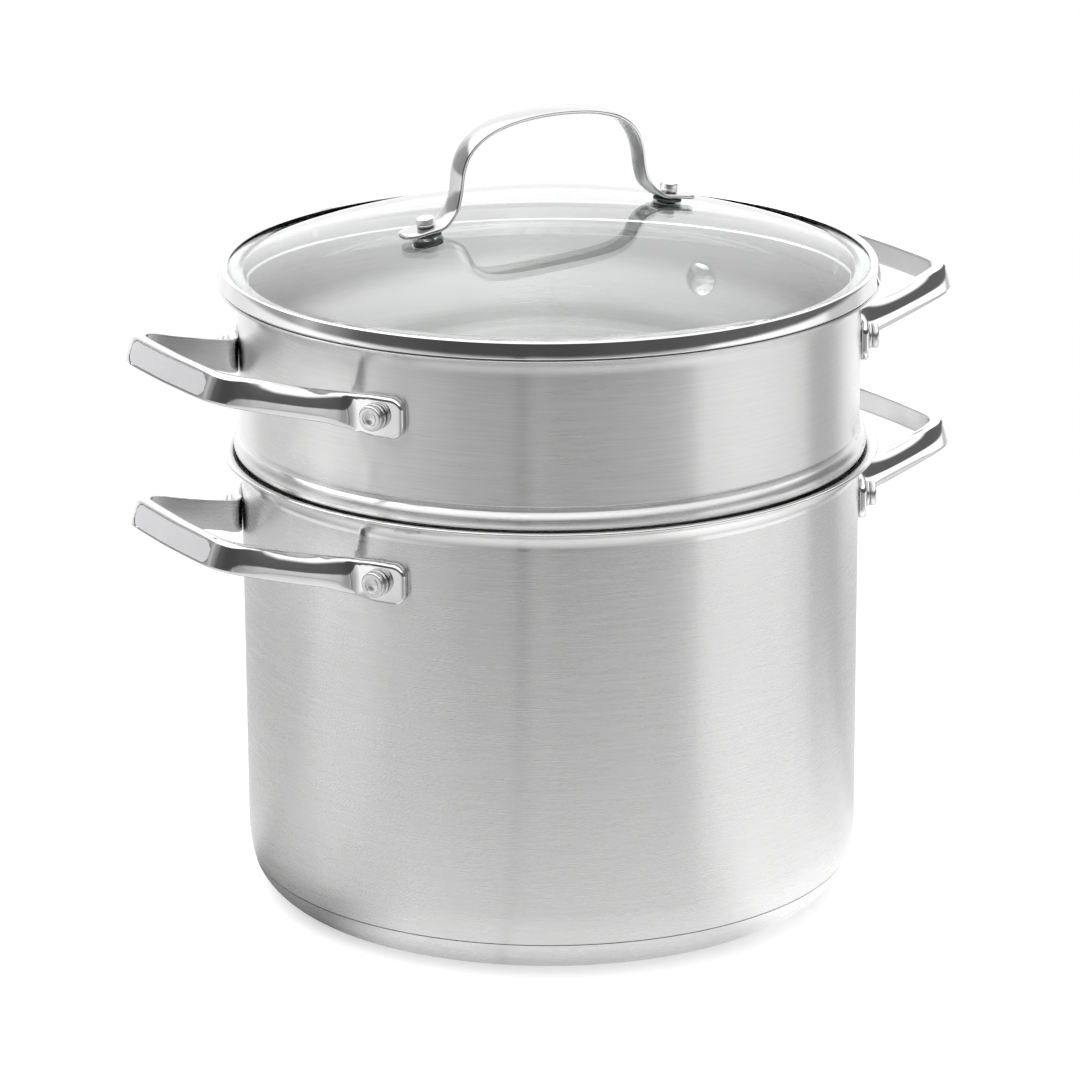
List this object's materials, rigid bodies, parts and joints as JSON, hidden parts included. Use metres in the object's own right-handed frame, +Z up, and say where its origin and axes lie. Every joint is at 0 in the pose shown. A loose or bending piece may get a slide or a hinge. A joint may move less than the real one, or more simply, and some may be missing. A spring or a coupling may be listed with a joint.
{
  "type": "water bath canner",
  "caption": "Stainless stock pot with thick disc base, lift-off steamer tier, domed glass lid with strap handle, riveted loop handles and an inner wire jar rack.",
  "frame": {"origin": "middle of the base, on the surface the pot stands on", "axes": "+Z up along the pot's axis, +X through the grip of the right-hand loop handles, +Y away from the front"},
  "size_m": [0.3354, 0.255, 0.3083],
  "materials": {
    "brushed_steel": "stainless steel brushed round the wall",
    "polished_steel": "mirror-polished stainless steel",
    "satin_steel": "fine satin stainless steel",
    "core_aluminium": "plain, hidden by the base cap",
    "rack_wire": "bright drawn stainless wire",
    "lid_glass": "clear tempered glass with a faint green edge",
    "silicone": "matte dark silicone"
  },
  "bodies": {
    "pot": {"pot_body": "brushed_steel", "pot_base_core": "core_aluminium", "pot_base_cap": "satin_steel", "pot_handle_left": "polished_steel", "pot_handle_right": "polished_steel", "pot_rivet_left_front": "satin_steel", "pot_rivet_left_back": "satin_steel", "pot_rivet_right_front": "satin_steel", "pot_rivet_right_back": "satin_steel", "pot_rivet_washer_left_front": "satin_steel", "pot_rivet_washer_left_back": "satin_steel", "pot_rivet_washer_right_front": "satin_steel", "pot_rivet_washer_right_back": "satin_steel"},
    "tier": {"tier_body": "brushed_steel", "tier_handle_left": "polished_steel", "tier_handle_right": "polished_steel", "tier_rivet_left_front": "satin_steel", "tier_rivet_left_back": "satin_steel", "tier_rivet_right_front": "satin_steel", "tier_rivet_right_back": "satin_steel", "tier_rivet_washer_left_front": "satin_steel", "tier_rivet_washer_left_back": "satin_steel", "tier_rivet_washer_right_front": "satin_steel", "tier_rivet_washer_right_back": "satin_steel"},
    "lid": {"lid_rim": "polished_steel", "lid_glass": "lid_glass", "lid_handle": "polished_steel", "lid_rivet_left": "satin_steel", "lid_rivet_right": "satin_steel", "lid_upper_gasket_left": "silicone", "lid_upper_gasket_right": "silicone", "lid_lower_gasket_left": "silicone", "lid_lower_gasket_right": "silicone", "lid_lower_washer_left": "satin_steel", "lid_lower_washer_right": "satin_steel"},
    "rack": {"rack_ring_outer": "rack_wire", "rack_ring_middle": "rack_wire", "rack_ring_inner": "rack_wire", "rack_leg_1": "rack_wire", "rack_leg_2": "rack_wire", "rack_leg_3": "rack_wire", "rack_leg_4": "rack_wire", "rack_leg_5": "rack_wire", "rack_leg_6": "rack_wire"}
  },
  "joints": [
    {"name": "tier_lift", "type": "slide", "parent": "pot", "child": "tier", "axis": [0, 0, 1], "range_m": [0, 0.2]},
    {"name": "lid_lift", "type": "slide", "parent": "tier", "child": "lid", "axis": [0, 0, 1], "range_m": [0, 0.15]},
    {"name": "rack_lift", "type": "slide", "parent": "pot", "child": "rack", "axis": [0, 0, 1], "range_m": [0, 0.13]}
  ]
}
